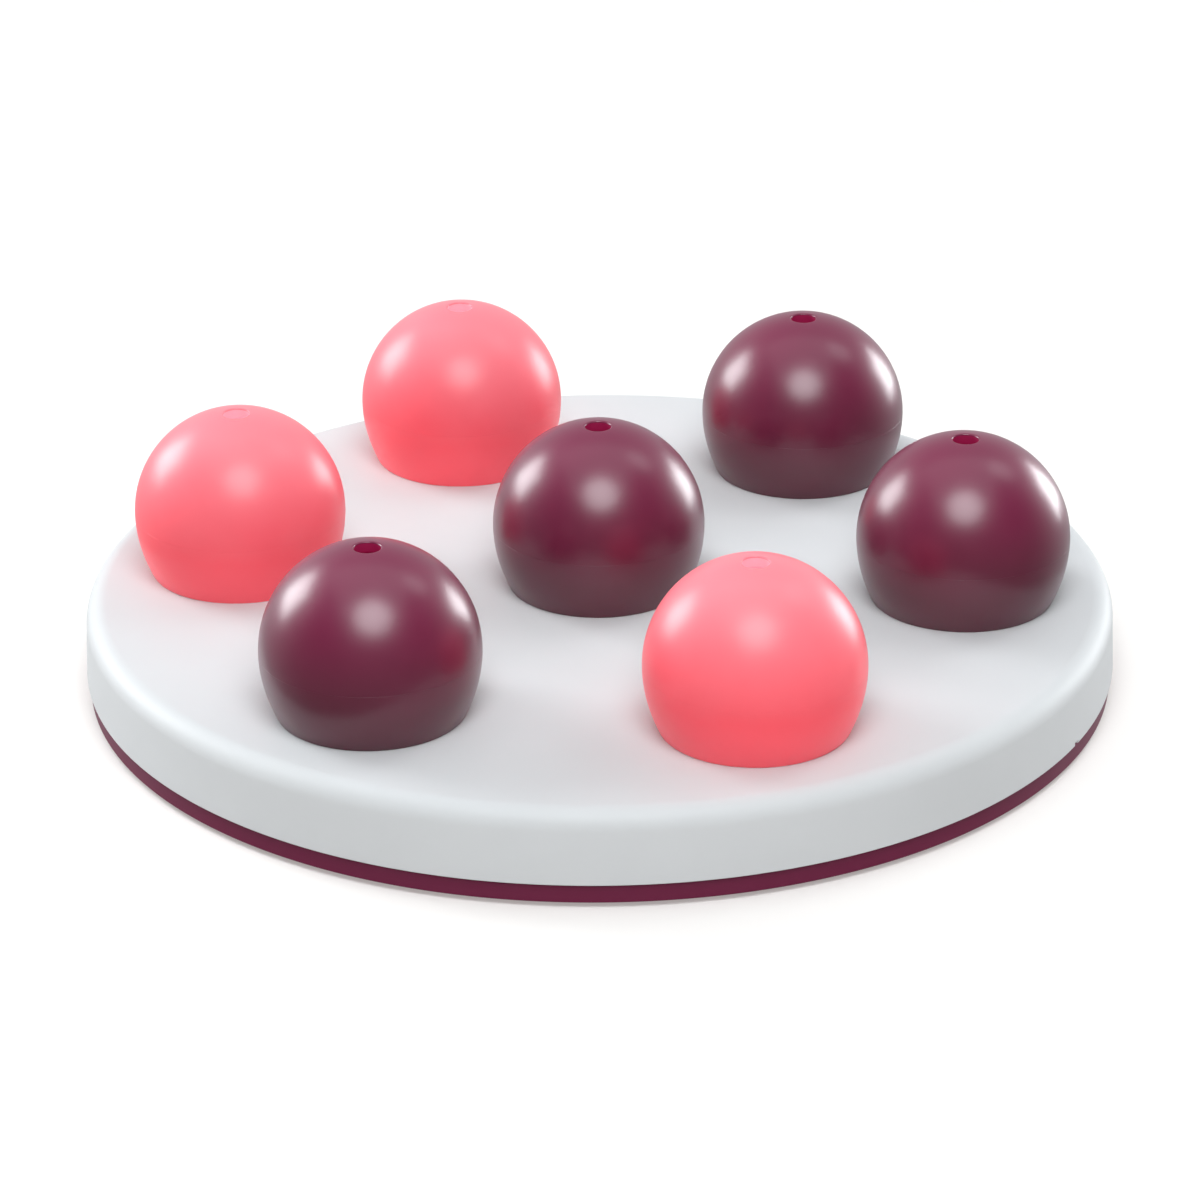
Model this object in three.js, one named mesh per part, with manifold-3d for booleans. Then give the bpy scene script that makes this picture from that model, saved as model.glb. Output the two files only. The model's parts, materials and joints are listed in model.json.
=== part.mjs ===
// Cat puzzle feeder: a round board with loose domes standing over treat pockets.
// Millimetres, +Z up. The origin is on the floor, under the middle of the board.

import * as THREE from 'three';
import { mergeVertices } from 'three/addons/utils/BufferGeometryUtils.js';
import Module from 'manifold-3d';

const wasm = await Module();
wasm.setup();

// Board
const boardDiameter = 200; // across the cover's lower edge
const boardHeight = 17.8; // from the base's underside to the cover's top face
const coverWall = 2.4; // top plate and side of the cover
const coverDraft = 0.4; // the cover's side leans in by this much
const edgeRadius = 4; // round along the cover's top edge
const innerCorner = 1.6; // slope inside the same edge
const bandHeight = 3.7; // rim of the base that shows below the cover
const bandInset = 0.6; // the rim stands in from the cover's lower edge
const bandEdge = 0.3; // chamfer along the rim's lower edge
const revealHeight = 0.2; // shadow line between rim and cover
const revealDepth = 1;
const baseFloor = 2.2; // bottom plate of the base
const lipHeight = 3; // wall of the base that centres the cover, above the seat
const lipWall = 2;

// Domes
const domeRadius = 20.5; // upper half: a half sphere
const equatorHeight = 12.2; // joint of the two halves, above the board
const domeFootRadius = 17.5; // where the lower half stands on the board
const domeWall = 2.2;
const scentHoleDiameter = 5;
const tongueHeight = 2; // lower half reaches up inside the upper half
const footLand = 1; // width of the ring that the dome stands on
const spigotDepth = 3; // part of the dome that drops into the pocket
const spigotWall = 1.8;
const spigotLeadIn = 0.6; // chamfer round the spigot's lower edge
const rimMargin = 9.1; // from the widest point of a dome to the board's edge
const ringPhase = THREE.MathUtils.degToRad(-66.5); // direction of the first dome in the ring

// Treat pockets
const pocketWall = 2;
const pocketFloorRadius = 6; // round between a pocket's floor and its wall
const pocketClearance = 3; // from a pocket's underside to the base's floor

// Ribs under the cover
const ribThickness = 1.6;
const ribClearance = 2; // from a rib's lower edge down to the base's lip

// Index key that sets the base's turn in the cover
const keyAngle = THREE.MathUtils.degToRad(-27);
const keyWidth = 1.6;
const keyRise = 0.7; // above the seat
const keyClearance = 0.1; // round the key in the cover's notch

// Screws
const screwShankDiameter = 2.6;
const screwHeadDiameter = 5.6;
const screwHeadHeight = 2.2;
const screwHeadEdge = 0.8; // chamfer round the head
const screwHeadRecess = 0.8; // the head lies this deep in the base
const screwPoint = 2; // length of the tapered tip
const screwTipClearance = 1; // from the tip to the top plate
const screwPostFloor = 2.4; // base material that the head clamps
const screwPostWall = 2;
const bossWall = 2.2;

// Rubber feet
const footDiameter = 10;
const footProud = 1; // stands out below the base
const footRecess = 1.2; // sits this deep in the base
const footEdge = 0.4; // chamfer round the foot
const footMargin = 16; // from a foot's middle to the board's edge

// Fits
const fitClearance = 0.3; // between pieces that slide into each other
const overlap = 1; // how far joined shapes run into each other, and cuts run past a face

// Facets
const boardSides = 60;
const domeSides = 20;
const smallSides = 8;
const roundSteps = 3; // for each round stretch of an outline, twice as many on an arc
const coarseSteps = 2; // the same, for small rounds and for the hidden side of a piece

const white = { color: 0xe4e7ec, roughness: 0.5, metalness: 0 };
const maroon = { color: 0x62293d, roughness: 0.4, metalness: 0 };
const pink = { color: 0xff6675, roughness: 0.4, metalness: 0 };
const rubber = { color: 0x2c2b2d, roughness: 0.9, metalness: 0 };
const steel = { color: 0xb4b6b9, roughness: 0.35, metalness: 1 };

// The ring, anticlockwise from the first dome, seen from above.
const ringDomes = [
  { name: 'front_right', finish: pink },
  { name: 'right', finish: maroon },
  { name: 'rear_right', finish: maroon },
  { name: 'rear_left', finish: pink },
  { name: 'left', finish: pink },
  { name: 'front_left', finish: maroon },
];
const centreDome = { name: 'centre', finish: maroon };

// Levels
const baseBottom = footProud;
const baseFloorTop = baseBottom + baseFloor;
const coverSeat = baseBottom + bandHeight;
const bandTop = coverSeat - revealHeight;
const lipTop = coverSeat + lipHeight;
const boardTop = baseBottom + boardHeight;
const plateUnderside = boardTop - coverWall;
const pocketDepth = boardHeight - baseFloor - pocketClearance - pocketWall;
const screwSeat = baseBottom + screwHeadRecess + screwHeadHeight;
const screwPostTop = screwSeat + screwPostFloor;
const bossBottom = screwPostTop + fitClearance;
const screwTip = plateUnderside - screwTipClearance;

// Radii
const boardRadius = boardDiameter / 2;
const coverTopRadius = boardRadius - coverDraft;
const skirtInner = coverTopRadius - coverWall;
const bandRadius = boardRadius - bandInset;
const lipOuter = skirtInner - fitClearance;
const ringRadius = boardRadius - rimMargin - domeRadius;
const pocketMouth = domeFootRadius - footLand;
const cupOuter = pocketMouth + pocketWall;
const spigotOuter = pocketMouth - fitClearance;
const spigotInner = spigotOuter - spigotWall;
const domeInner = domeRadius - domeWall;
const jointWall = (domeWall - fitClearance) / 2;
const screwShankRadius = screwShankDiameter / 2;
const screwHoleRadius = screwShankRadius + fitClearance;
const screwHeadRadius = screwHeadDiameter / 2;
const counterboreRadius = screwHeadRadius + fitClearance;
const footRadius = footDiameter / 2;

// Places, as angle and distance from the middle
const step = (2 * Math.PI) / ringDomes.length;
const ringAngles = ringDomes.map((dome, i) => ringPhase + i * step);
const domePlaces = ringAngles.map((angle) => at(angle, ringRadius));
const pocketPlaces = [at(0, 0), ...domePlaces];
const betweenAngles = ringAngles.map((angle) => angle + step / 2);
const screwPlaces = betweenAngles.map((angle) => at(angle, ringRadius * Math.cos(step / 2)));
const footPlaces = betweenAngles.map((angle) => at(angle, boardRadius - footMargin));

function at(angle, radius) {
  return new THREE.Vector2(radius * Math.cos(angle), radius * Math.sin(angle));
}

// Shapes. An outline's x is the distance from the axis and its y is the height.
function revolve(outlinePoints, sides) {
  return new THREE.LatheGeometry(outlinePoints, sides).rotateX(Math.PI / 2);
}

function cylinder(radius, bottom, top, place, sides = smallSides) {
  const shape = new THREE.CylinderGeometry(radius, radius, top - bottom, sides);
  return shape.rotateX(Math.PI / 2).translate(place.x, place.y, (bottom + top) / 2);
}

// A block that runs outwards along one direction from the middle.
function radialBlock(angle, inner, outer, width, bottom, top) {
  const shape = new THREE.BoxGeometry(outer - inner, width, top - bottom);
  return shape.translate((inner + outer) / 2, 0, (bottom + top) / 2).rotateZ(angle);
}

// Joins and cuts
function solid(geometry) {
  const shape = geometry.clone();
  shape.deleteAttribute('normal');
  shape.deleteAttribute('uv');
  const merged = mergeVertices(shape);
  const corners = merged.index.array;
  const triangles = [];
  for (let i = 0; i < corners.length; i += 3) {
    const [a, b, c] = corners.slice(i, i + 3);
    if (a !== b && b !== c && c !== a) triangles.push(a, b, c);
  }
  return new wasm.Manifold(new wasm.Mesh({
    numProp: 3,
    vertProperties: merged.attributes.position.array,
    triVerts: new Uint32Array(triangles),
  }));
}

function joined(body, geometries) {
  return geometries.reduce((whole, geometry) => whole.add(solid(geometry)), body);
}

function cut(body, geometries) {
  return geometries.reduce((whole, geometry) => whole.subtract(solid(geometry)), body);
}

function geometryOf(body) {
  const { vertProperties, triVerts } = body.getMesh();
  const geometry = new THREE.BufferGeometry();
  geometry.setAttribute('position', new THREE.BufferAttribute(vertProperties, 3));
  geometry.setIndex(new THREE.BufferAttribute(triVerts, 1));
  geometry.computeVertexNormals();
  return geometry;
}

function piece(name, geometry, finish) {
  const mesh = new THREE.Mesh(geometry, new THREE.MeshStandardMaterial(finish));
  mesh.name = name;
  return mesh;
}

// Board cover: a shallow shell with the treat pockets, ribs and screw bosses moulded in.
function coverShell() {
  const outline = new THREE.Path();
  outline.moveTo(0, plateUnderside);
  outline.lineTo(skirtInner - innerCorner, plateUnderside);
  outline.lineTo(skirtInner, plateUnderside - innerCorner);
  outline.lineTo(skirtInner, coverSeat);
  outline.lineTo(boardRadius, coverSeat);
  outline.absarc(coverTopRadius - edgeRadius, boardTop - edgeRadius, edgeRadius, 0, Math.PI / 2, false);
  outline.lineTo(0, boardTop);
  return revolve(outline.getPoints(coarseSteps), boardSides);
}

// A bowl with a flat floor and an upright wall that the dome's spigot slides into.
function bowl(radius, depth, floorRadius, top, steps) {
  const outline = new THREE.Path();
  outline.moveTo(0, -depth);
  outline.lineTo(radius - floorRadius, -depth);
  outline.quadraticCurveTo(radius, -depth, radius, floorRadius - depth);
  outline.lineTo(radius, top);
  outline.lineTo(0, top);
  return revolve(outline.getPoints(steps), domeSides).translate(0, 0, boardTop);
}

function boardCover() {
  const floorRadius = Math.min(pocketFloorRadius, pocketDepth - spigotDepth - fitClearance);
  const cupDepth = pocketDepth + pocketWall;
  const cup = bowl(cupOuter, cupDepth, floorRadius + pocketWall, -coverWall / 2, coarseSteps);
  const pocket = bowl(pocketMouth, pocketDepth, floorRadius, overlap, roundSteps);
  const cups = pocketPlaces.map((place) => cup.clone().translate(place.x, place.y, 0));
  const pockets = pocketPlaces.map((place) => pocket.clone().translate(place.x, place.y, 0));

  // Each rib runs from the middle to the side, through two cups. The pockets are cut afterwards.
  const ribBottom = lipTop + ribClearance;
  const insidePlate = boardTop - coverWall / 2;
  const ribs = ringAngles.map((angle) =>
    radialBlock(angle, 0, skirtInner + overlap, ribThickness, ribBottom, insidePlate));

  const bossRadius = screwHoleRadius + bossWall;
  const bosses = screwPlaces.map((place) => cylinder(bossRadius, bossBottom, insidePlate, place));
  const pilots = screwPlaces.map((place) =>
    cylinder(screwHoleRadius, bossBottom - overlap, screwTip + fitClearance, place));
  const notchTop = coverSeat + keyRise + keyClearance;
  const notchWidth = keyWidth + 2 * keyClearance;
  const notchBottom = coverSeat - overlap;
  const notch = radialBlock(
    keyAngle, skirtInner - overlap, boardRadius + overlap, notchWidth, notchBottom, notchTop);

  const moulding = joined(solid(coverShell()), [...cups, ...ribs, ...bosses]);
  return geometryOf(cut(moulding, [...pockets, ...pilots, notch]));
}

// Base tray: bottom plate, the rim that shows as a band, and the lip that centres the cover.
function baseShell() {
  const outline = new THREE.Path();
  outline.moveTo(0, baseBottom);
  outline.lineTo(bandRadius - bandEdge, baseBottom);
  outline.lineTo(bandRadius, baseBottom + bandEdge);
  outline.lineTo(bandRadius, bandTop);
  outline.lineTo(bandRadius - revealDepth, bandTop);
  outline.lineTo(bandRadius - revealDepth, coverSeat);
  outline.lineTo(lipOuter, coverSeat);
  outline.lineTo(lipOuter, lipTop);
  outline.lineTo(lipOuter - lipWall, lipTop);
  outline.lineTo(lipOuter - lipWall, baseFloorTop);
  outline.lineTo(0, baseFloorTop);
  return revolve(outline.getPoints(), boardSides);
}

function baseTray() {
  const postRadius = counterboreRadius + screwPostWall;
  const posts = screwPlaces.map((place) =>
    cylinder(postRadius, baseBottom + baseFloor / 2, screwPostTop, place));
  const keyBottom = bandTop - overlap;
  const key = radialBlock(
    keyAngle, lipOuter - lipWall / 2, bandRadius, keyWidth, keyBottom, coverSeat + keyRise);

  const belowBase = baseBottom - overlap;
  const counterbores = screwPlaces.map((place) =>
    cylinder(counterboreRadius, belowBase, screwSeat, place));
  const screwHoles = screwPlaces.map((place) =>
    cylinder(screwHoleRadius, belowBase, screwPostTop + overlap, place));
  const recesses = footPlaces.map((place) =>
    cylinder(footRadius + fitClearance, belowBase, baseBottom + footRecess, place));

  const moulding = joined(solid(baseShell()), [...posts, key]);
  return geometryOf(cut(moulding, [...counterbores, ...screwHoles, ...recesses]));
}

// Dome cap: the upper half sphere, with the scent hole, rebated inside its lower edge.
function domeCap() {
  const holeRadius = scentHoleDiameter / 2;
  const outerEnd = Math.acos(holeRadius / domeRadius);
  const innerStart = Math.acos(holeRadius / domeInner);
  const rebateHeight = tongueHeight + fitClearance;
  const innerEnd = Math.asin(rebateHeight / domeInner);
  const rebateRadius = domeRadius - jointWall;
  const outside = new THREE.Path();
  outside.moveTo(rebateRadius, 0);
  outside.lineTo(domeRadius, 0);
  outside.absarc(0, 0, domeRadius, 0, outerEnd, false);
  const inside = new THREE.Path();
  inside.absarc(0, 0, domeInner, innerStart, innerEnd, true);
  inside.lineTo(rebateRadius, rebateHeight);
  inside.lineTo(rebateRadius, 0);
  const outline = [...outside.getPoints(roundSteps), ...inside.getPoints(coarseSteps)];
  return revolve(outline, domeSides).translate(0, 0, equatorHeight);
}

// Dome skirt: draws in from the equator to the foot, with a tongue above and a spigot below.
function domeSkirt() {
  const tongueOuter = domeInner + jointWall;
  const outside = new THREE.Path();
  outside.moveTo(spigotInner, -spigotDepth);
  outside.lineTo(spigotOuter - spigotLeadIn, -spigotDepth);
  outside.lineTo(spigotOuter, spigotLeadIn - spigotDepth);
  outside.lineTo(spigotOuter, 0);
  outside.lineTo(domeFootRadius, 0);
  outside.quadraticCurveTo(domeRadius, equatorHeight / 2, domeRadius, equatorHeight);
  outside.lineTo(tongueOuter, equatorHeight);
  outside.lineTo(tongueOuter, equatorHeight + tongueHeight);
  const inside = new THREE.Path();
  inside.moveTo(domeInner, equatorHeight + tongueHeight);
  inside.quadraticCurveTo(domeInner, equatorHeight / 2, spigotInner, 0);
  inside.lineTo(spigotInner, -spigotDepth);
  return revolve([...outside.getPoints(roundSteps), ...inside.getPoints(coarseSteps)], domeSides);
}

function dome({ name, finish }, place) {
  const group = new THREE.Group();
  group.add(piece(`${name}_dome_cap`, domeCap(), finish));
  group.add(piece(`${name}_dome_skirt`, domeSkirt(), finish));
  group.position.set(place.x, place.y, boardTop);
  return group;
}

// Screw: pan head down, point up.
function screw() {
  const outline = new THREE.Path();
  outline.moveTo(0, screwSeat - screwHeadHeight);
  outline.lineTo(screwHeadRadius - screwHeadEdge, screwSeat - screwHeadHeight);
  outline.lineTo(screwHeadRadius, screwSeat - screwHeadHeight + screwHeadEdge);
  outline.lineTo(screwHeadRadius, screwSeat);
  outline.lineTo(screwShankRadius, screwSeat);
  outline.lineTo(screwShankRadius, screwTip - screwPoint);
  outline.lineTo(0, screwTip);
  return revolve(outline.getPoints(), smallSides);
}

// Rubber foot: a plug with a chamfered lower edge.
function rubberFoot() {
  const outline = new THREE.Path();
  outline.moveTo(0, 0);
  outline.lineTo(footRadius - footEdge, 0);
  outline.lineTo(footRadius, footEdge);
  outline.lineTo(footRadius, footProud + footRecess);
  outline.lineTo(0, footProud + footRecess);
  return revolve(outline.getPoints(), smallSides);
}

function copies(name, shape, places, finish) {
  return places.map((place, i) => {
    const mesh = piece(`${name}_${i + 1}`, shape(), finish);
    mesh.position.set(place.x, place.y, 0);
    return mesh;
  });
}

const feeder = new THREE.Group();
feeder.add(piece('board_cover', boardCover(), white));
feeder.add(piece('base_tray', baseTray(), maroon));
feeder.add(dome(centreDome, at(0, 0)));
ringDomes.forEach((entry, i) => feeder.add(dome(entry, domePlaces[i])));
feeder.add(...copies('base_screw', screw, screwPlaces, steel));
feeder.add(...copies('rubber_foot', rubberFoot, footPlaces, rubber));

export default feeder;
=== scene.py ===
import json
import math

import bmesh
import bpy
from mathutils import Matrix, Vector

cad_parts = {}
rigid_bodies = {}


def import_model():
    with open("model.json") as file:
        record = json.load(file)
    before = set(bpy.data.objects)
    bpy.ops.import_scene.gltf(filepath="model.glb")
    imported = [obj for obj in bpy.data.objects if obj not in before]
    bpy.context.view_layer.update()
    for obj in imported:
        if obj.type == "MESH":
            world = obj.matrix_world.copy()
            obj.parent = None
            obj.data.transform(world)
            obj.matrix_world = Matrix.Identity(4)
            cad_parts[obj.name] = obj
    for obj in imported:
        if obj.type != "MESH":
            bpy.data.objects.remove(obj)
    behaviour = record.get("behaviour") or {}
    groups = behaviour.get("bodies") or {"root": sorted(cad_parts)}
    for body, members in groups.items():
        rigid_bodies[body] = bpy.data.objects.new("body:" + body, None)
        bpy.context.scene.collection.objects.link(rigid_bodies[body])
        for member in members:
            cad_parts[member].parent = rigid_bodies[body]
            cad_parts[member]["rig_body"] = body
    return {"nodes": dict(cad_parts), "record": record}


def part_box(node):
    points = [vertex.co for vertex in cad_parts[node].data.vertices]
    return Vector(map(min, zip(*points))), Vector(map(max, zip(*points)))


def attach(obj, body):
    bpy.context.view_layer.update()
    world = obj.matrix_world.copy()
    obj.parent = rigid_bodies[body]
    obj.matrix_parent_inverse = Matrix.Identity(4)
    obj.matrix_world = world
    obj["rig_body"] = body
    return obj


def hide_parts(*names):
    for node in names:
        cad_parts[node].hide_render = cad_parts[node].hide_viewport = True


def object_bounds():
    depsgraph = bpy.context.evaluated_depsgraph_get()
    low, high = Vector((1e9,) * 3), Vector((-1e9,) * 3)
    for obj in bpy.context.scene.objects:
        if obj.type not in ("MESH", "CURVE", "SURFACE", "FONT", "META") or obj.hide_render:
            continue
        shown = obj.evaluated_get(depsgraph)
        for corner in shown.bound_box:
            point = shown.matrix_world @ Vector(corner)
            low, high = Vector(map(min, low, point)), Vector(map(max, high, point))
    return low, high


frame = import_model()
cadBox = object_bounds()
mm = 0.001  # lengths are metres, written as so many mm
slotOf = {part["node"]: part["material_slot"] for part in frame["record"]["subparts"]}


# Camera, at the photograph's viewing angle
cameraLook = {
    "lens": 139.126,  # on a 36 wide sensor
    "sensor": 36,
    "distance": 905.54 * mm,
    "heightAngle": 24.53,
    "roll": -0.474,
    "aim": (0, 0, 13 * mm),
    "aimRight": 0.1 * mm,
    "aimUp": 1.47 * mm,
    "nearest": 10 * mm,  # nothing closer is drawn
}


def placeCamera(look):
    tilt = math.radians(look["heightAngle"])
    roll = math.radians(look["roll"])
    back = Vector((0, -math.cos(tilt), math.sin(tilt)))
    level = Vector((1, 0, 0))
    upright = back.cross(level)
    right = level * math.cos(roll) + upright * math.sin(roll)
    up = upright * math.cos(roll) - level * math.sin(roll)
    aim = Vector(look["aim"]) + right * look["aimRight"] + up * look["aimUp"]
    turn = Matrix((right, up, back)).transposed().to_4x4()
    view = bpy.data.objects.new("camera", bpy.data.cameras.new("camera"))
    view.data.lens = look["lens"]
    view.data.sensor_width = look["sensor"]
    view.data.clip_start = look["nearest"]
    view.matrix_world = Matrix.Translation(aim + back * look["distance"]) @ turn
    bpy.context.scene.collection.objects.link(view)
    bpy.context.scene.camera = view


placeCamera(cameraLook)
bpy.context.scene.view_settings.view_transform = "Standard"
print("camera placed")


# Studio: soft lamps round the board. Angles are degrees, turn 0 is the camera's side and 90 the right.
studioLamps = {
    "overhead": {"turn": 0, "rise": 88, "away": 1.1, "size": (1.3, 1.3), "round": False, "watts": 4.2},
    "front": {"turn": 4, "rise": 55, "away": 0.95, "size": (0.58, 0.58), "round": True, "watts": 6.9},
    "left": {"turn": -119, "rise": 24, "away": 0.9, "size": (0.41, 0.41), "round": False, "watts": 6.0},
    "right": {"turn": 129, "rise": 8, "away": 0.9, "size": (0.32, 0.35), "round": False, "watts": 4.2},
    "upperRight": {"turn": 117, "rise": 52, "away": 0.9, "size": (0.3, 0.3), "round": True, "watts": 0.5},
}
# The air glows dimly low down, and more brightly behind the board.
studioAir = {
    "low": {"axis": "Z", "start": 0.75, "full": 0.15, "strength": 0.16, "fade": "LINEAR"},
    "back": {"axis": "Y", "start": -0.4, "full": 0.6, "strength": 0.44, "fade": "SMOOTHSTEP"},
}
lampTint = (0.955, 0.985, 1.0)


def hangLamp(name, look):
    turn, rise = math.radians(look["turn"]), math.radians(look["rise"])
    flat = math.cos(rise)
    side = Vector((math.sin(turn) * flat, -math.cos(turn) * flat, math.sin(rise)))
    lamp = bpy.data.lights.new(name, "AREA")
    lamp.shape = "ELLIPSE" if look["round"] else "RECTANGLE"
    lamp.size, lamp.size_y = look["size"]
    lamp.energy = look["watts"]
    lamp.color = lampTint
    holder = bpy.data.objects.new(name, lamp)
    holder.location = Vector(cameraLook["aim"]) + side * look["away"]
    holder.rotation_euler = side.to_track_quat("Z", "Y").to_euler()
    holder.visible_camera = False
    bpy.context.scene.collection.objects.link(holder)


def fillAir(look):
    world = bpy.data.worlds.new("studio")
    world.use_nodes = True
    tree = world.node_tree
    sky = tree.nodes["Background"]
    sky.inputs["Color"].default_value = (*lampTint, 1)
    way = tree.nodes.new("ShaderNodeTexCoord")
    parts = tree.nodes.new("ShaderNodeSeparateXYZ")
    tree.links.new(way.outputs["Generated"], parts.inputs["Vector"])
    fades = []
    for glow in look.values():
        fade = tree.nodes.new("ShaderNodeMapRange")
        fade.interpolation_type = glow["fade"]
        fade.inputs["From Min"].default_value = glow["start"]
        fade.inputs["From Max"].default_value = glow["full"]
        fade.inputs["To Max"].default_value = glow["strength"]
        tree.links.new(parts.outputs[glow["axis"]], fade.inputs["Value"])
        fades.append(fade.outputs["Result"])
    total = tree.nodes.new("ShaderNodeMath")
    for value, socket in zip(fades, total.inputs):
        tree.links.new(value, socket)
    tree.links.new(total.outputs["Value"], sky.inputs["Strength"])
    bpy.context.scene.world = world


for lampName, lampLook in studioLamps.items():
    hangLamp(lampName, lampLook)
fillAir(studioAir)
print("lamps hung:", len(studioLamps))


# Finishes. Patterns are laid in the frame's own metres, so every dome gets its own stretch of them.
patternLow, patternHigh = 0.1, 0.9  # a noise pattern keeps about between these
cloudShare = 0.1  # how far the cloud blurs a fade


def startFinish(name):
    finish = bpy.data.materials.new(name)
    finish.use_nodes = True
    tree = finish.node_tree
    place = tree.nodes.new("ShaderNodeTexCoord").outputs["Object"]
    return finish, tree, tree.nodes["Principled BSDF"], place


def noise(tree, place, size, detail):
    node = tree.nodes.new("ShaderNodeTexNoise")
    node.inputs["Scale"].default_value = 1 / size  # one patch is about as wide as size
    node.inputs["Detail"].default_value = detail
    tree.links.new(place, node.inputs["Vector"])
    return node.outputs["Fac"]


def spread(tree, value, low, high, start=patternLow, end=patternHigh):
    node = tree.nodes.new("ShaderNodeMapRange")
    node.inputs["From Min"].default_value = start
    node.inputs["From Max"].default_value = end
    node.inputs["To Min"].default_value = low
    node.inputs["To Max"].default_value = high
    tree.links.new(value, node.inputs["Value"])
    return node.outputs["Result"]


def tones(tree, value, first, second):
    node = tree.nodes.new("ShaderNodeValToRGB")
    node.color_ramp.elements[0].position = patternLow
    node.color_ramp.elements[0].color = (*first, 1)
    node.color_ramp.elements[1].position = patternHigh
    node.color_ramp.elements[1].color = (*second, 1)
    tree.links.new(value, node.inputs["Fac"])
    return node.outputs["Color"]


def clouded(tree, share, cloud):
    total = tree.nodes.new("ShaderNodeMath")  # a share from 0 to 1, blurred a little by the cloud
    tree.links.new(spread(tree, share, 0, 1 - cloudShare, 0, 1), total.inputs[0])
    tree.links.new(spread(tree, cloud, 0, cloudShare), total.inputs[1])
    return total.outputs["Value"]


def rising(tree, place, low, high, cloud):
    parts = tree.nodes.new("ShaderNodeSeparateXYZ")
    tree.links.new(place, parts.inputs["Vector"])
    return clouded(tree, spread(tree, parts.outputs["Z"], 0, 1, low, high), cloud)


def relief(tree, shader, layers):
    height = None
    for value, depth in layers:
        node = tree.nodes.new("ShaderNodeMath")
        node.operation = "MULTIPLY_ADD"
        node.inputs[1].default_value = depth
        tree.links.new(value, node.inputs[0])
        if height:
            tree.links.new(height, node.inputs[2])
        else:
            node.inputs[2].default_value = 0
        height = node.outputs["Value"]
    bump = tree.nodes.new("ShaderNodeBump")
    bump.inputs["Distance"].default_value = 1
    tree.links.new(height, bump.inputs["Height"])
    tree.links.new(bump.outputs["Normal"], shader.inputs["Normal"])


def mouldedPlastic(name, look):
    finish, tree, shader, place = startFinish(name)
    cloud = noise(tree, place, look["cloud"], detail=3)
    grain = noise(tree, place, look["grain"], detail=1)
    wave = noise(tree, place, look["wave"], detail=1)
    # given heights, the colour is painted paler towards the top: a painted highlight, not the plastic's
    # own colour
    share = rising(tree, place, *look["paintedLightHeights"], cloud) if "paintedLightHeights" in look else cloud
    tree.links.new(tones(tree, share, look["colour"], look["secondTone"]), shader.inputs["Base Color"])
    tree.links.new(spread(tree, cloud, look["smooth"], look["rough"]), shader.inputs["Roughness"])
    relief(tree, shader, [(grain, look["grainDepth"]), (wave, look["waveDepth"])])
    shader.inputs["IOR"].default_value = look["ior"]
    if "haze" in look:  # a wide faint gloss over the narrower one
        hazeShare, hazeBlur = look["haze"]
        shader.inputs["Coat Weight"].default_value = hazeShare
        shader.inputs["Coat Roughness"].default_value = hazeBlur
    # a painted glow: emission, faded by height, that stands in for light shining through the plastic
    if "glow" in look:
        rise = rising(tree, place, *look["glowHeights"], cloud)
        shader.inputs["Emission Color"].default_value = (*look["glow"], 1)
        tree.links.new(spread(tree, rise, *look["glowRange"]), shader.inputs["Emission Strength"])
    return finish


whiteLook = {
    "colour": (0.594, 0.606, 0.617), "secondTone": (0.614, 0.626, 0.637), "cloud": 14 * mm,
    "smooth": 0.48, "rough": 0.58, "ior": 1.42,
    "grain": 0.5 * mm, "grainDepth": 0.003 * mm, "wave": 9 * mm, "waveDepth": 0.012 * mm,
}
# The domes' colour is painted paler towards the top: a painted highlight on the lit top, standing in for
# the light their plastic lets in.
maroonLook = {
    # the first tone is the lower, shaded colour; the second is the painted paler top
    "colour": (0.098, 0.0030, 0.0225), "secondTone": (0.178, 0.0100, 0.0510),
    "paintedLightHeights": (24 * mm, 51 * mm), "cloud": 9 * mm,
    "smooth": 0.28, "rough": 0.32, "ior": 1.54, "haze": (0.42, 0.50),
    "grain": 0.4 * mm, "grainDepth": 0.001 * mm, "wave": 5 * mm, "waveDepth": 0.003 * mm,
}
pinkLook = {
    # as on the maroon domes, the second tone is the painted paler top
    "colour": (0.93, 0.072, 0.101), "secondTone": (0.93, 0.215, 0.258),
    "paintedLightHeights": (27 * mm, 51 * mm), "cloud": 9 * mm,
    "smooth": 0.32, "rough": 0.38, "ior": 1.47,
    "grain": 0.4 * mm, "grainDepth": 0.001 * mm, "wave": 5 * mm, "waveDepth": 0.003 * mm,
    # painted glow, strongest near the foot, for light shining through the pink plastic
    "glow": (1.0, 0.2, 0.25), "glowRange": (0.17, 0.06), "glowHeights": (19 * mm, 31 * mm),
}
bandLook = {  # the base has a duller, paler skin
    **maroonLook, "colour": (0.155, 0.0100, 0.048),
    "smooth": 0.40, "rough": 0.50, "ior": 1.38, "haze": (0, 0.50),
}
# Inside a dome the plastic gets a painted glow: emission that stands in for the light coming through its
# thin wall.
insideHeights = (16 * mm, 51 * mm)
maroonInsideLook = {
    **maroonLook, "glow": (1.0, 0.012, 0.15), "glowRange": (0.095, 0.12), "glowHeights": insideHeights,
}
pinkInsideLook = {
    **pinkLook, "glow": (1.0, 0.29, 0.35), "glowRange": (0.70, 0.78), "glowHeights": insideHeights,
}
rubberLook = {
    "colour": (0.025, 0.025, 0.027), "secondTone": (0.034, 0.034, 0.036), "cloud": 2 * mm,
    "smooth": 0.72, "rough": 0.86, "ior": 1.5,
    "grain": 0.3 * mm, "grainDepth": 0.006 * mm, "wave": 2 * mm, "waveDepth": 0.01 * mm,
}
steelLook = {
    "colour": (0.50, 0.51, 0.53), "secondTone": (0.40, 0.41, 0.42), "cloud": 1.2 * mm,
    "smooth": 0.28, "rough": 0.42, "grain": 0.15 * mm, "grainDepth": 0.002 * mm,
}


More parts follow.
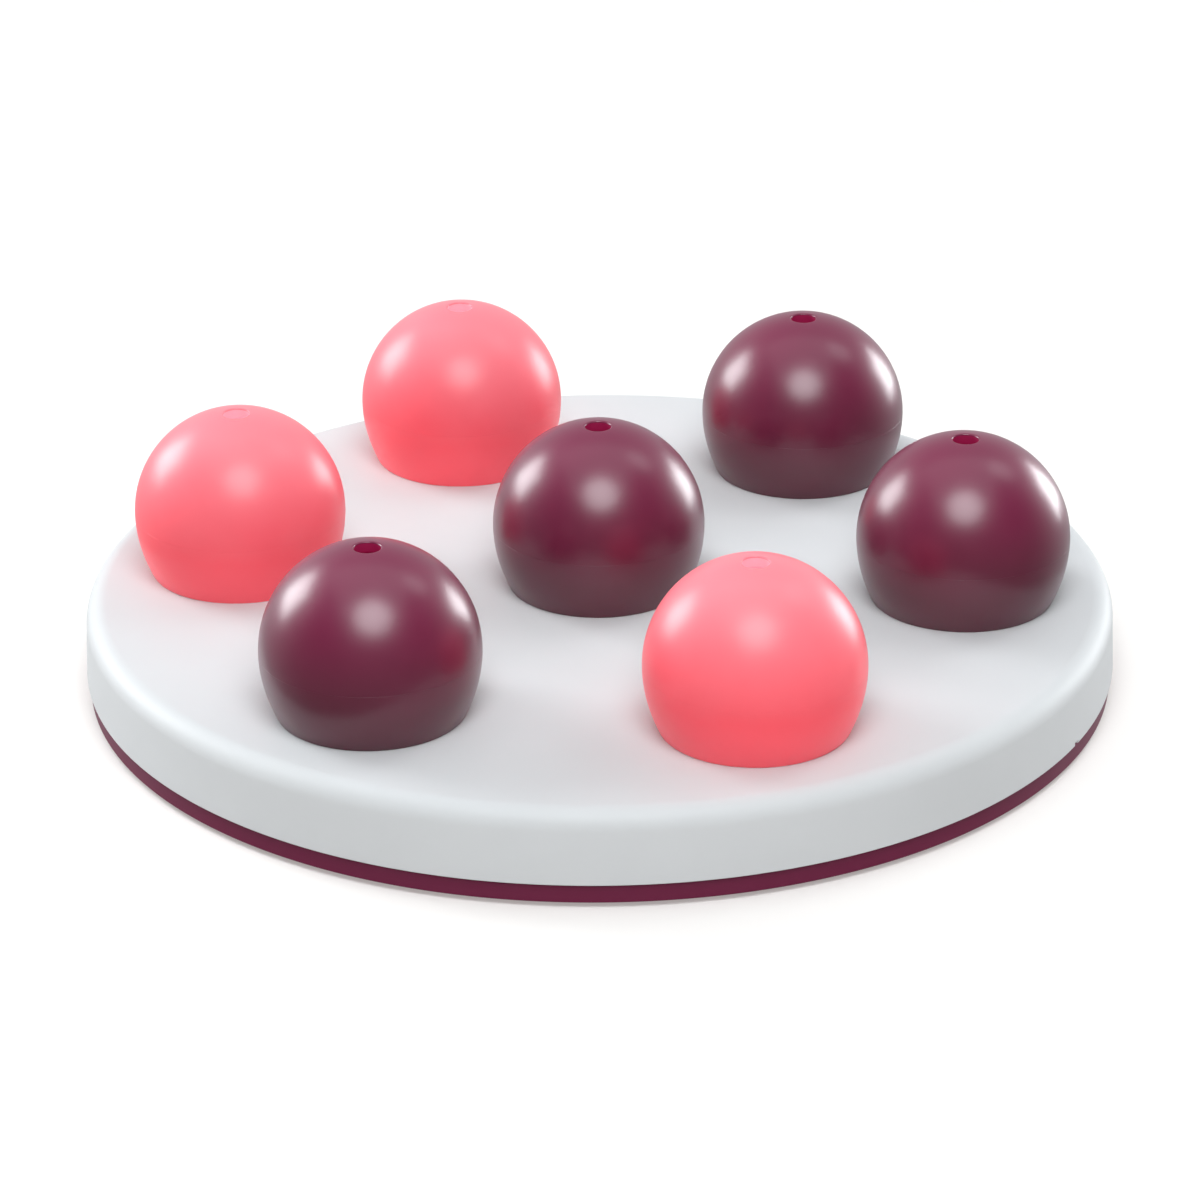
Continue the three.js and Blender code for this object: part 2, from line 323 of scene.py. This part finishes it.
def platedSteel(name, look):
    finish, tree, shader, place = startFinish(name)
    cloud = noise(tree, place, look["cloud"], detail=4)
    grain = noise(tree, place, look["grain"], detail=2)
    shader.inputs["Metallic"].default_value = 1
    tree.links.new(tones(tree, cloud, look["colour"], look["secondTone"]), shader.inputs["Base Color"])
    tree.links.new(spread(tree, cloud, look["smooth"], look["rough"]), shader.inputs["Roughness"])
    relief(tree, shader, [(grain, look["grainDepth"])])
    return finish


finishes = {
    "white_plastic": mouldedPlastic("whitePlastic", whiteLook),
    "maroon_plastic": mouldedPlastic("maroonPlastic", maroonLook),
    "pink_plastic": mouldedPlastic("pinkPlastic", pinkLook),
    "rubber": mouldedPlastic("footRubber", rubberLook),
    "steel": platedSteel("screwSteel", steelLook),
}
bandFinish = mouldedPlastic("maroonBand", bandLook)
# finishes for the domes' inside faces, with their painted glow
insides = {
    "maroon_plastic": mouldedPlastic("maroonInsidePaintedGlow", maroonInsideLook),
    "pink_plastic": mouldedPlastic("pinkInsidePaintedGlow", pinkInsideLook),
}
print("finishes mixed:", len(finishes) + len(insides) + 1)


# Shaping. An outline's first number is the distance from the axis, its second the height, and its third
# the radius of the round at that corner.
nearAxis = 1e-9  # an outline's point closer than this is on the axis
weld = 0.0005 * mm  # corners closer than this are one
past = 1 * mm  # cuts run this far past a face


def roundCorners(corners, steps):
    line = []
    for i, (x, z, size) in enumerate(corners):
        here = Vector((x, z))
        if size == 0:
            line.append(here)
            continue
        back = (Vector(corners[i - 1][:2]) - here).normalized()
        ahead = (Vector(corners[(i + 1) % len(corners)][:2]) - here).normalized()
        half = back.angle(ahead) / 2
        middle = here + (back + ahead).normalized() * (size / math.sin(half))
        start = here + back * (size / math.tan(half)) - middle
        end = here + ahead * (size / math.tan(half)) - middle
        first = math.atan2(start.y, start.x)
        sweep = (math.atan2(end.y, end.x) - first + math.pi) % (2 * math.pi) - math.pi
        for k in range(steps + 1):
            angle = first + sweep * k / steps
            line.append(middle + size * Vector((math.cos(angle), math.sin(angle))))
    return line


def arc(radius, first, last, steps):
    angles = [first + (last - first) * k / steps for k in range(steps + 1)]
    return [(radius * math.cos(a), radius * math.sin(a), 0) for a in angles]


def bow(start, control, end, steps):
    points = []
    for k in range(steps + 1):
        t = k / steps
        near, middle, far = (1 - t) ** 2, 2 * t * (1 - t), t * t
        points.append((
            near * start[0] + middle * control[0] + far * end[0],
            near * start[1] + middle * control[1] + far * end[1],
            0,
        ))
    return points


def meshObject(name, body):
    bmesh.ops.recalc_face_normals(body, faces=body.faces)
    mesh = bpy.data.meshes.new(name)
    body.to_mesh(mesh)
    body.free()
    made = bpy.data.objects.new(name, mesh)
    bpy.context.scene.collection.objects.link(made)
    return made


def turned(name, line, sides, centre=(0, 0, 0), hollow=False):
    body = bmesh.new()
    rings = []
    for x, z in line:
        angles = [2 * math.pi * k / sides for k in range(sides if x > nearAxis else 1)]
        spots = [Vector((x * math.cos(a), x * math.sin(a), z)) + Vector(centre) for a in angles]
        rings.append([body.verts.new(spot) for spot in spots])
    pairs = list(zip(rings, rings[1:]))
    if hollow:
        pairs.append((rings[-1], rings[0]))  # the outline closes on itself
    for low, high in pairs:
        for k in range(sides):
            after = (k + 1) % sides
            below = [low[k % len(low)], low[after % len(low)]]
            above = [high[after % len(high)], high[k % len(high)]]
            body.faces.new(dict.fromkeys(below + above))  # a corner on the axis counts once
    return meshObject(name, body)


def bar(name, low, high, angle=0):
    body = bmesh.new()
    bmesh.ops.create_cube(body, size=1)
    size, middle = Vector(high) - Vector(low), (Vector(high) + Vector(low)) / 2
    spot = Matrix.Rotation(angle, 4, "Z") @ Matrix.Translation(middle) @ Matrix.Diagonal((*size, 1))
    bmesh.ops.transform(body, matrix=spot, verts=body.verts)
    return meshObject(name, body)


def settle(made):
    depsgraph = bpy.context.evaluated_depsgraph_get()
    mesh = bpy.data.meshes.new_from_object(made.evaluated_get(depsgraph))
    made.modifiers.clear()
    made.data = mesh


def combine(made, tools, how):
    group = bpy.data.collections.new(how)
    for tool in tools:
        group.objects.link(tool)
    step = made.modifiers.new(how, "BOOLEAN")
    step.operation = how
    step.operand_type = "COLLECTION"
    step.collection = group
    step.solver = "EXACT"
    settle(made)
    for tool in tools:
        bpy.data.objects.remove(tool)
    bpy.data.collections.remove(group)


def shade(made, sharpAngle=40):
    body = bmesh.new()
    body.from_mesh(made.data)
    bmesh.ops.remove_doubles(body, verts=body.verts, dist=weld)
    bmesh.ops.dissolve_degenerate(body, edges=body.edges, dist=weld)
    for face in body.faces:
        face.smooth = True
    for edge in body.edges:
        edge.smooth = edge.calc_face_angle(0) < math.radians(sharpAngle)
    body.to_mesh(made.data)
    body.free()
    even = made.modifiers.new("evenShade", "WEIGHTED_NORMAL")  # wide flats keep their own shade
    even.keep_sharp = True
    settle(made)


def fit(made, node, finish=None):
    shade(made)
    made.data.materials.clear()
    made.data.materials.append(finish or finishes[slotOf[node]])
    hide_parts(node)
    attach(made, frame["nodes"][node]["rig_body"])


def lightInside(made, node, middle):
    # faces turned to the dome's middle take the inside finish with its painted glow
    made.data.materials.append(insides[slotOf[node]])
    for face in made.data.polygons:
        if (face.center - middle).dot(face.normal) < 0:  # it faces the middle of the dome
            face.material_index = 1


def middleOf(node):
    low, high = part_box(node)
    return (low + high) / 2


def nodesLike(ending):
    return sorted(name for name in frame["nodes"] if ending in name)


# Levels and places read from the frame
coverLow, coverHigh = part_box("board_cover")
trayLow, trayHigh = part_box("base_tray")
boardTop = coverHigh.z
seat = coverLow.z
domeCaps = nodesLike("_dome_cap")
domeSpots = {cap[:-len("_cap")]: middleOf(cap) for cap in domeCaps}
screwNodes = nodesLike("base_screw")
footNodes = nodesLike("rubber_foot")


# Board cover: plate, side, seven treat pockets, and the ribs and screw bosses under it
coverLook = {
    "wall": 2.4 * mm,
    "lean": 0.55 * mm,  # the side draws in by this much towards the top
    "side": 2.8 * mm,  # from the lower rim in to the side's inner face
    "edgeRound": 4 * mm,
    "innerRound": 1.6 * mm,
    "lowerEdgeRound": 0.3 * mm,
    "mouth": 16.5 * mm,
    "mouthRound": 0.5 * mm,
    "pocketDepth": 10.6 * mm,
    "pocketFloorRound": 6 * mm,
    "pocketWall": 2 * mm,
    "rib": (1.6 * mm, 9.7 * mm),  # thickness and lower edge
    "bossRadius": 3.8 * mm,
    "bossBottom": 6.7 * mm,
    "pilotRadius": 1.6 * mm,
    "pilotTop": 15.7 * mm,
    "notch": (96.2 * mm, 1.8 * mm, 5.5 * mm),  # inner end, width and top of the index key's notch
    "sides": 288,
    "roundSteps": 14,
    "pocketSides": 96,
    "pocketSteps": 10,
    "bossSides": 32,
}
keyAngle = math.radians(-27)  # direction of the index key, seen from above


def bowl(name, spot, radius, depth, floorRound, mouthRound, top):
    corners = [(0, -depth, 0), (radius, -depth, floorRound)]
    if mouthRound:
        corners += [(radius, 0, mouthRound), (radius + mouthRound, 0, 0)]
    corners += [(radius + mouthRound, top, 0), (0, top, 0)]
    line = roundCorners(corners, coverLook["pocketSteps"])
    return turned(name, line, coverLook["pocketSides"], (spot.x, spot.y, boardTop))


def post(name, spot, radius, bottom, top, sides):
    line = [(0, bottom), (radius, bottom), (radius, top), (0, top)]
    return turned(name, line, sides, (spot.x, spot.y, 0))


def makeCover(look):
    rim, underside = coverHigh.x, boardTop - look["wall"]
    inner = rim - look["side"]
    outline = [
        (0, underside, 0),
        (inner, underside, look["innerRound"]),
        (inner, seat, 0),
        (rim, seat, look["lowerEdgeRound"]),
        (rim - look["lean"], boardTop, look["edgeRound"]),
        (0, boardTop, 0),
    ]
    cover = turned("board_cover_moulding", roundCorners(outline, look["roundSteps"]), look["sides"])
    depth, wall, floorRound = look["pocketDepth"], look["pocketWall"], look["pocketFloorRound"]
    halfPlate = look["wall"] / 2
    insidePlate = boardTop - halfPlate  # what is joined to the plate runs up to here
    cups = [
        bowl("cup", spot, look["mouth"] + wall, depth + wall, floorRound + wall, 0, -halfPlate)
        for spot in domeSpots.values()
    ]
    screwSpots = [middleOf(node) for node in screwNodes]
    bossBottom, bossSides = look["bossBottom"], look["bossSides"]
    bosses = [
        post("boss", spot, look["bossRadius"], bossBottom, insidePlate, bossSides) for spot in screwSpots
    ]
    # Each rib runs right across the board, through the cups of two opposite domes.
    thick, ribBottom = look["rib"]
    reach, half = inner + halfPlate, thick / 2
    ribs = [
        bar("rib", (-reach, -half, ribBottom), (reach, half, insidePlate), math.atan2(spot.y, spot.x))
        for spot in (domeSpots[name] for name in ("front_right_dome", "right_dome", "rear_right_dome"))
    ]
    combine(cover, cups + bosses + ribs, "UNION")
    pockets = [
        bowl("pocket", spot, look["mouth"], depth, floorRound, look["mouthRound"], past)
        for spot in domeSpots.values()
    ]
    pilots = [
        post("pilot", spot, look["pilotRadius"], bossBottom - past, look["pilotTop"], bossSides)
        for spot in screwSpots
    ]
    start, width, top = look["notch"]
    notch = bar("notch", (start, -width / 2, seat - past), (rim + past, width / 2, top), keyAngle)
    combine(cover, pockets + pilots + [notch], "DIFFERENCE")
    fit(cover, "board_cover")


makeCover(coverLook)
print("board cover made with", len(domeSpots), "pockets")


# Base tray: its rim is the band under the cover
trayLook = {
    "rimRound": 0.35 * mm,
    "rimTop": 4.5 * mm,
    "rimTopRound": 0.15 * mm,
    "shadowGap": 1 * mm,  # how far the shadow line goes in
    "lip": (96.9 * mm, 94.9 * mm),  # outside and inside
    "lipRound": 0.4 * mm,
    "floorTop": 3.2 * mm,
    "floorRound": 0.8 * mm,
    "postRadius": 5.1 * mm,
    "postTop": 6.4 * mm,
    "counterbore": (3.1 * mm, 4 * mm),  # radius and depth level
    "screwHole": 1.6 * mm,
    "footRecess": (5.3 * mm, 2.2 * mm),  # radius and depth level
    "key": (95.9 * mm, 1.6 * mm, 5.4 * mm),  # inner end, width and top
    "sides": 288,
    "roundSteps": 8,
    "smallSides": 40,
}


def makeTray(look):
    rim, bottom = trayHigh.x, trayLow.z
    lipOuter, lipInner = look["lip"]
    outline = [
        (0, bottom, 0),
        (rim, bottom, look["rimRound"]),
        (rim, look["rimTop"], look["rimTopRound"]),
        (rim - look["shadowGap"], look["rimTop"], 0),
        (rim - look["shadowGap"], seat, 0),
        (lipOuter, seat, 0),
        (lipOuter, trayHigh.z, look["lipRound"]),
        (lipInner, trayHigh.z, look["lipRound"]),
        (lipInner, look["floorTop"], look["floorRound"]),
        (0, look["floorTop"], 0),
    ]
    tray = turned("base_tray_moulding", roundCorners(outline, look["roundSteps"]), look["sides"])
    sides, postTop = look["smallSides"], look["postTop"]
    halfFloor = (bottom + look["floorTop"]) / 2
    screwSpots = [middleOf(node) for node in screwNodes]
    footSpots = [middleOf(node) for node in footNodes]
    posts = [post("post", spot, look["postRadius"], halfFloor, postTop, sides) for spot in screwSpots]
    keyStart, width, top = look["key"]
    key = bar("key", (keyStart, -width / 2, look["rimTop"] - past), (rim, width / 2, top), keyAngle)
    combine(tray, posts + [key], "UNION")
    bore, boreTop = look["counterbore"]
    recess, recessTop = look["footRecess"]
    hole, start = look["screwHole"], bottom - past
    cuts = [post("bore", spot, bore, start, boreTop, sides) for spot in screwSpots]
    cuts += [post("hole", spot, hole, start, postTop + past, sides) for spot in screwSpots]
    cuts += [post("recess", spot, recess, start, recessTop, sides) for spot in footSpots]
    combine(tray, cuts, "DIFFERENCE")
    fit(tray, "base_tray", bandFinish)


makeTray(trayLook)
print("base tray made")


# Domes: a half ball with a scent hole over a skirt that draws in to its foot
domeLook = {
    "wall": 2.2 * mm,
    "hole": 2.5 * mm,
    "holeRound": 0.3 * mm,
    "seamRound": 0.035 * mm,  # the edges that meet at the equator
    "jointWall": 0.95 * mm,
    "jointGap": 0.3 * mm,
    "tongue": 2 * mm,
    "foot": 17.5 * mm,
    "footRound": 0.3 * mm,
    "spigot": (16.2 * mm, 14.4 * mm),  # outside and inside
    "spigotDepth": 3 * mm,
    "leadIn": 0.6 * mm,
    "sides": 128,
    "steps": 40,  # along the half ball
    "roundSteps": 5,
}


def makeCap(name, spot, look):
    low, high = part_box(name + "_cap")
    ball, equator = (high.x - low.x) / 2, low.z
    inside, rebate = ball - look["wall"], ball - look["jointWall"]
    rebateTop = look["tongue"] + look["jointGap"]
    outerEnd, innerEnd = math.acos(look["hole"] / ball), math.acos(look["hole"] / inside)
    outer = arc(ball, 0, outerEnd, look["steps"])
    outer[0] = (*outer[0][:2], look["seamRound"])
    outer[-1] = (*outer[-1][:2], look["holeRound"])
    inner = arc(inside, innerEnd, math.asin(rebateTop / inside), look["steps"] // 2)
    inner[0] = (*inner[0][:2], look["holeRound"])
    outline = outer + inner + [(rebate, rebateTop, 0), (rebate, 0, 0)]
    middle = Vector((spot.x, spot.y, equator))
    line = roundCorners(outline, look["roundSteps"])
    cap = turned(name + "_upper_shell", line, look["sides"], middle, hollow=True)
    fit(cap, name + "_cap")
    lightInside(cap, name + "_cap", middle)


def makeSkirt(name, spot, look):
    low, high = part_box(name + "_skirt")
    ball, equator = (high.x - low.x) / 2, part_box(name + "_cap")[0].z - boardTop
    inside, tongueOuter = ball - look["wall"], ball - look["wall"] + look["jointWall"]
    tongueTop = equator + look["tongue"]
    outer, inner = look["spigot"]
    taper = bow((look["foot"], 0), (ball, equator / 2), (ball, equator), look["steps"] // 2)
    taper[0] = (*taper[0][:2], look["footRound"])
    taper[-1] = (*taper[-1][:2], look["seamRound"])
    hollow = bow((inside, tongueTop), (inside, equator / 2), (inner, 0), look["steps"] // 2)
    outline = [
        (inner, -look["spigotDepth"], 0),
        (outer - look["leadIn"], -look["spigotDepth"], 0),
        (outer, look["leadIn"] - look["spigotDepth"], 0),
        (outer, 0, 0),
        *taper,
        (tongueOuter, equator, 0),
        (tongueOuter, tongueTop, 0),
        *hollow,
    ]
    line, place = roundCorners(outline, look["roundSteps"]), (spot.x, spot.y, boardTop)
    skirt = turned(name + "_lower_shell", line, look["sides"], place, hollow=True)
    fit(skirt, name + "_skirt")
    lightInside(skirt, name + "_skirt", Vector((spot.x, spot.y, boardTop + equator)))


for domeName, domeSpot in domeSpots.items():
    makeCap(domeName, domeSpot, domeLook)
    makeSkirt(domeName, domeSpot, domeLook)
print("domes made:", len(domeSpots))


# Screws: pan heads with a cross recess, seen from below
screwLook = {
    "headHeight": 2.2 * mm,
    "headRound": 1.1 * mm,
    "shank": 1.3 * mm,
    "point": 2 * mm,
    "crossLength": 3.2 * mm,
    "crossWidth": 0.75 * mm,
    "crossDepth": 1.2 * mm,
    "sides": 40,
    "roundSteps": 8,
}


def makeScrew(node, look):
    low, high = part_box(node)
    spot, head = (low + high) / 2, (high.x - low.x) / 2
    headTop = low.z + look["headHeight"]
    outline = [
        (0, low.z, 0),
        (head, low.z, look["headRound"]),
        (head, headTop, 0),
        (look["shank"], headTop, 0),
        (look["shank"], high.z - look["point"], 0),
        (0, high.z, 0),
    ]
    line = roundCorners(outline, look["roundSteps"])
    screw = turned(node + "_fastener", line, look["sides"], (spot.x, spot.y, 0))
    half, wide, top = look["crossLength"] / 2, look["crossWidth"] / 2, low.z + look["crossDepth"]
    slots = []
    for along, across in ((half, wide), (wide, half)):
        slot = bar("slot", (-along, -across, low.z - past), (along, across, top))
        slot.data.transform(Matrix.Translation((spot.x, spot.y, 0)))
        slots.append(slot)
    combine(screw, slots, "DIFFERENCE")
    fit(screw, node)


for screwNode in screwNodes:
    makeScrew(screwNode, screwLook)
print("screws made:", len(screwNodes))


# Rubber feet
footLook = {
    "edgeRound": 0.5 * mm,
    "dish": 0.15 * mm,  # depth of the hollow under the foot
    "dishRadius": 2.6 * mm,
    "dishRound": 0.1 * mm,
    "sides": 48,
    "roundSteps": 6,
}


def makeFoot(node, look):
    low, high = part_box(node)
    spot, radius = (low + high) / 2, (high.x - low.x) / 2
    outline = [
        (0, low.z + look["dish"], 0),
        (look["dishRadius"], low.z + look["dish"], look["dishRound"]),
        (look["dishRadius"] + look["dish"], low.z, look["dishRound"]),
        (radius, low.z, look["edgeRound"]),
        (radius, high.z, 0),
        (0, high.z, 0),
    ]
    line = roundCorners(outline, look["roundSteps"])
    foot = turned(node + "_pad", line, look["sides"], (spot.x, spot.y, 0))
    fit(foot, node)


for footNode in footNodes:
    makeFoot(footNode, footLook)
print("feet made:", len(footNodes))


# Floor. It is kept out of the reflections, so that the domes mirror the dim side of the studio.
floorLook = {
    "radius": 9,
    "sides": 128,
    "drop": 0.02 * mm,  # this far below the feet
    "colour": (0.560, 0.545, 0.533), "secondTone": (0.580, 0.565, 0.553), "cloud": 0.3,
    "smooth": 0.85, "rough": 0.95,
    "glowTint": (1, 0.972, 0.950),
    "glow": (0.35, 0.75),  # near the board, and far out, where the lamps fade
    "glowReach": (0.4, 1.6),
}


def layFloor(look):
    body = bmesh.new()
    bmesh.ops.create_circle(body, cap_ends=True, segments=look["sides"], radius=look["radius"])
    floor = meshObject("floor", body)
    floor.location.z = cadBox[0].z - look["drop"]
    floor.visible_glossy = False
    finish, tree, shader, place = startFinish("floorPaper")
    cloud = noise(tree, place, look["cloud"], detail=3)
    away = tree.nodes.new("ShaderNodeVectorMath")
    away.operation = "LENGTH"
    tree.links.new(place, away.inputs[0])
    share = clouded(tree, spread(tree, away.outputs["Value"], 0, 1, *look["glowReach"]), cloud)
    tree.links.new(tones(tree, cloud, look["colour"], look["secondTone"]), shader.inputs["Base Color"])
    tree.links.new(spread(tree, cloud, look["smooth"], look["rough"]), shader.inputs["Roughness"])
    shader.inputs["Emission Color"].default_value = (*look["glowTint"], 1)
    tree.links.new(spread(tree, share, *look["glow"]), shader.inputs["Emission Strength"])
    floor.data.materials.append(finish)


layFloor(floorLook)
print("floor laid")

bpy.context.view_layer.update()
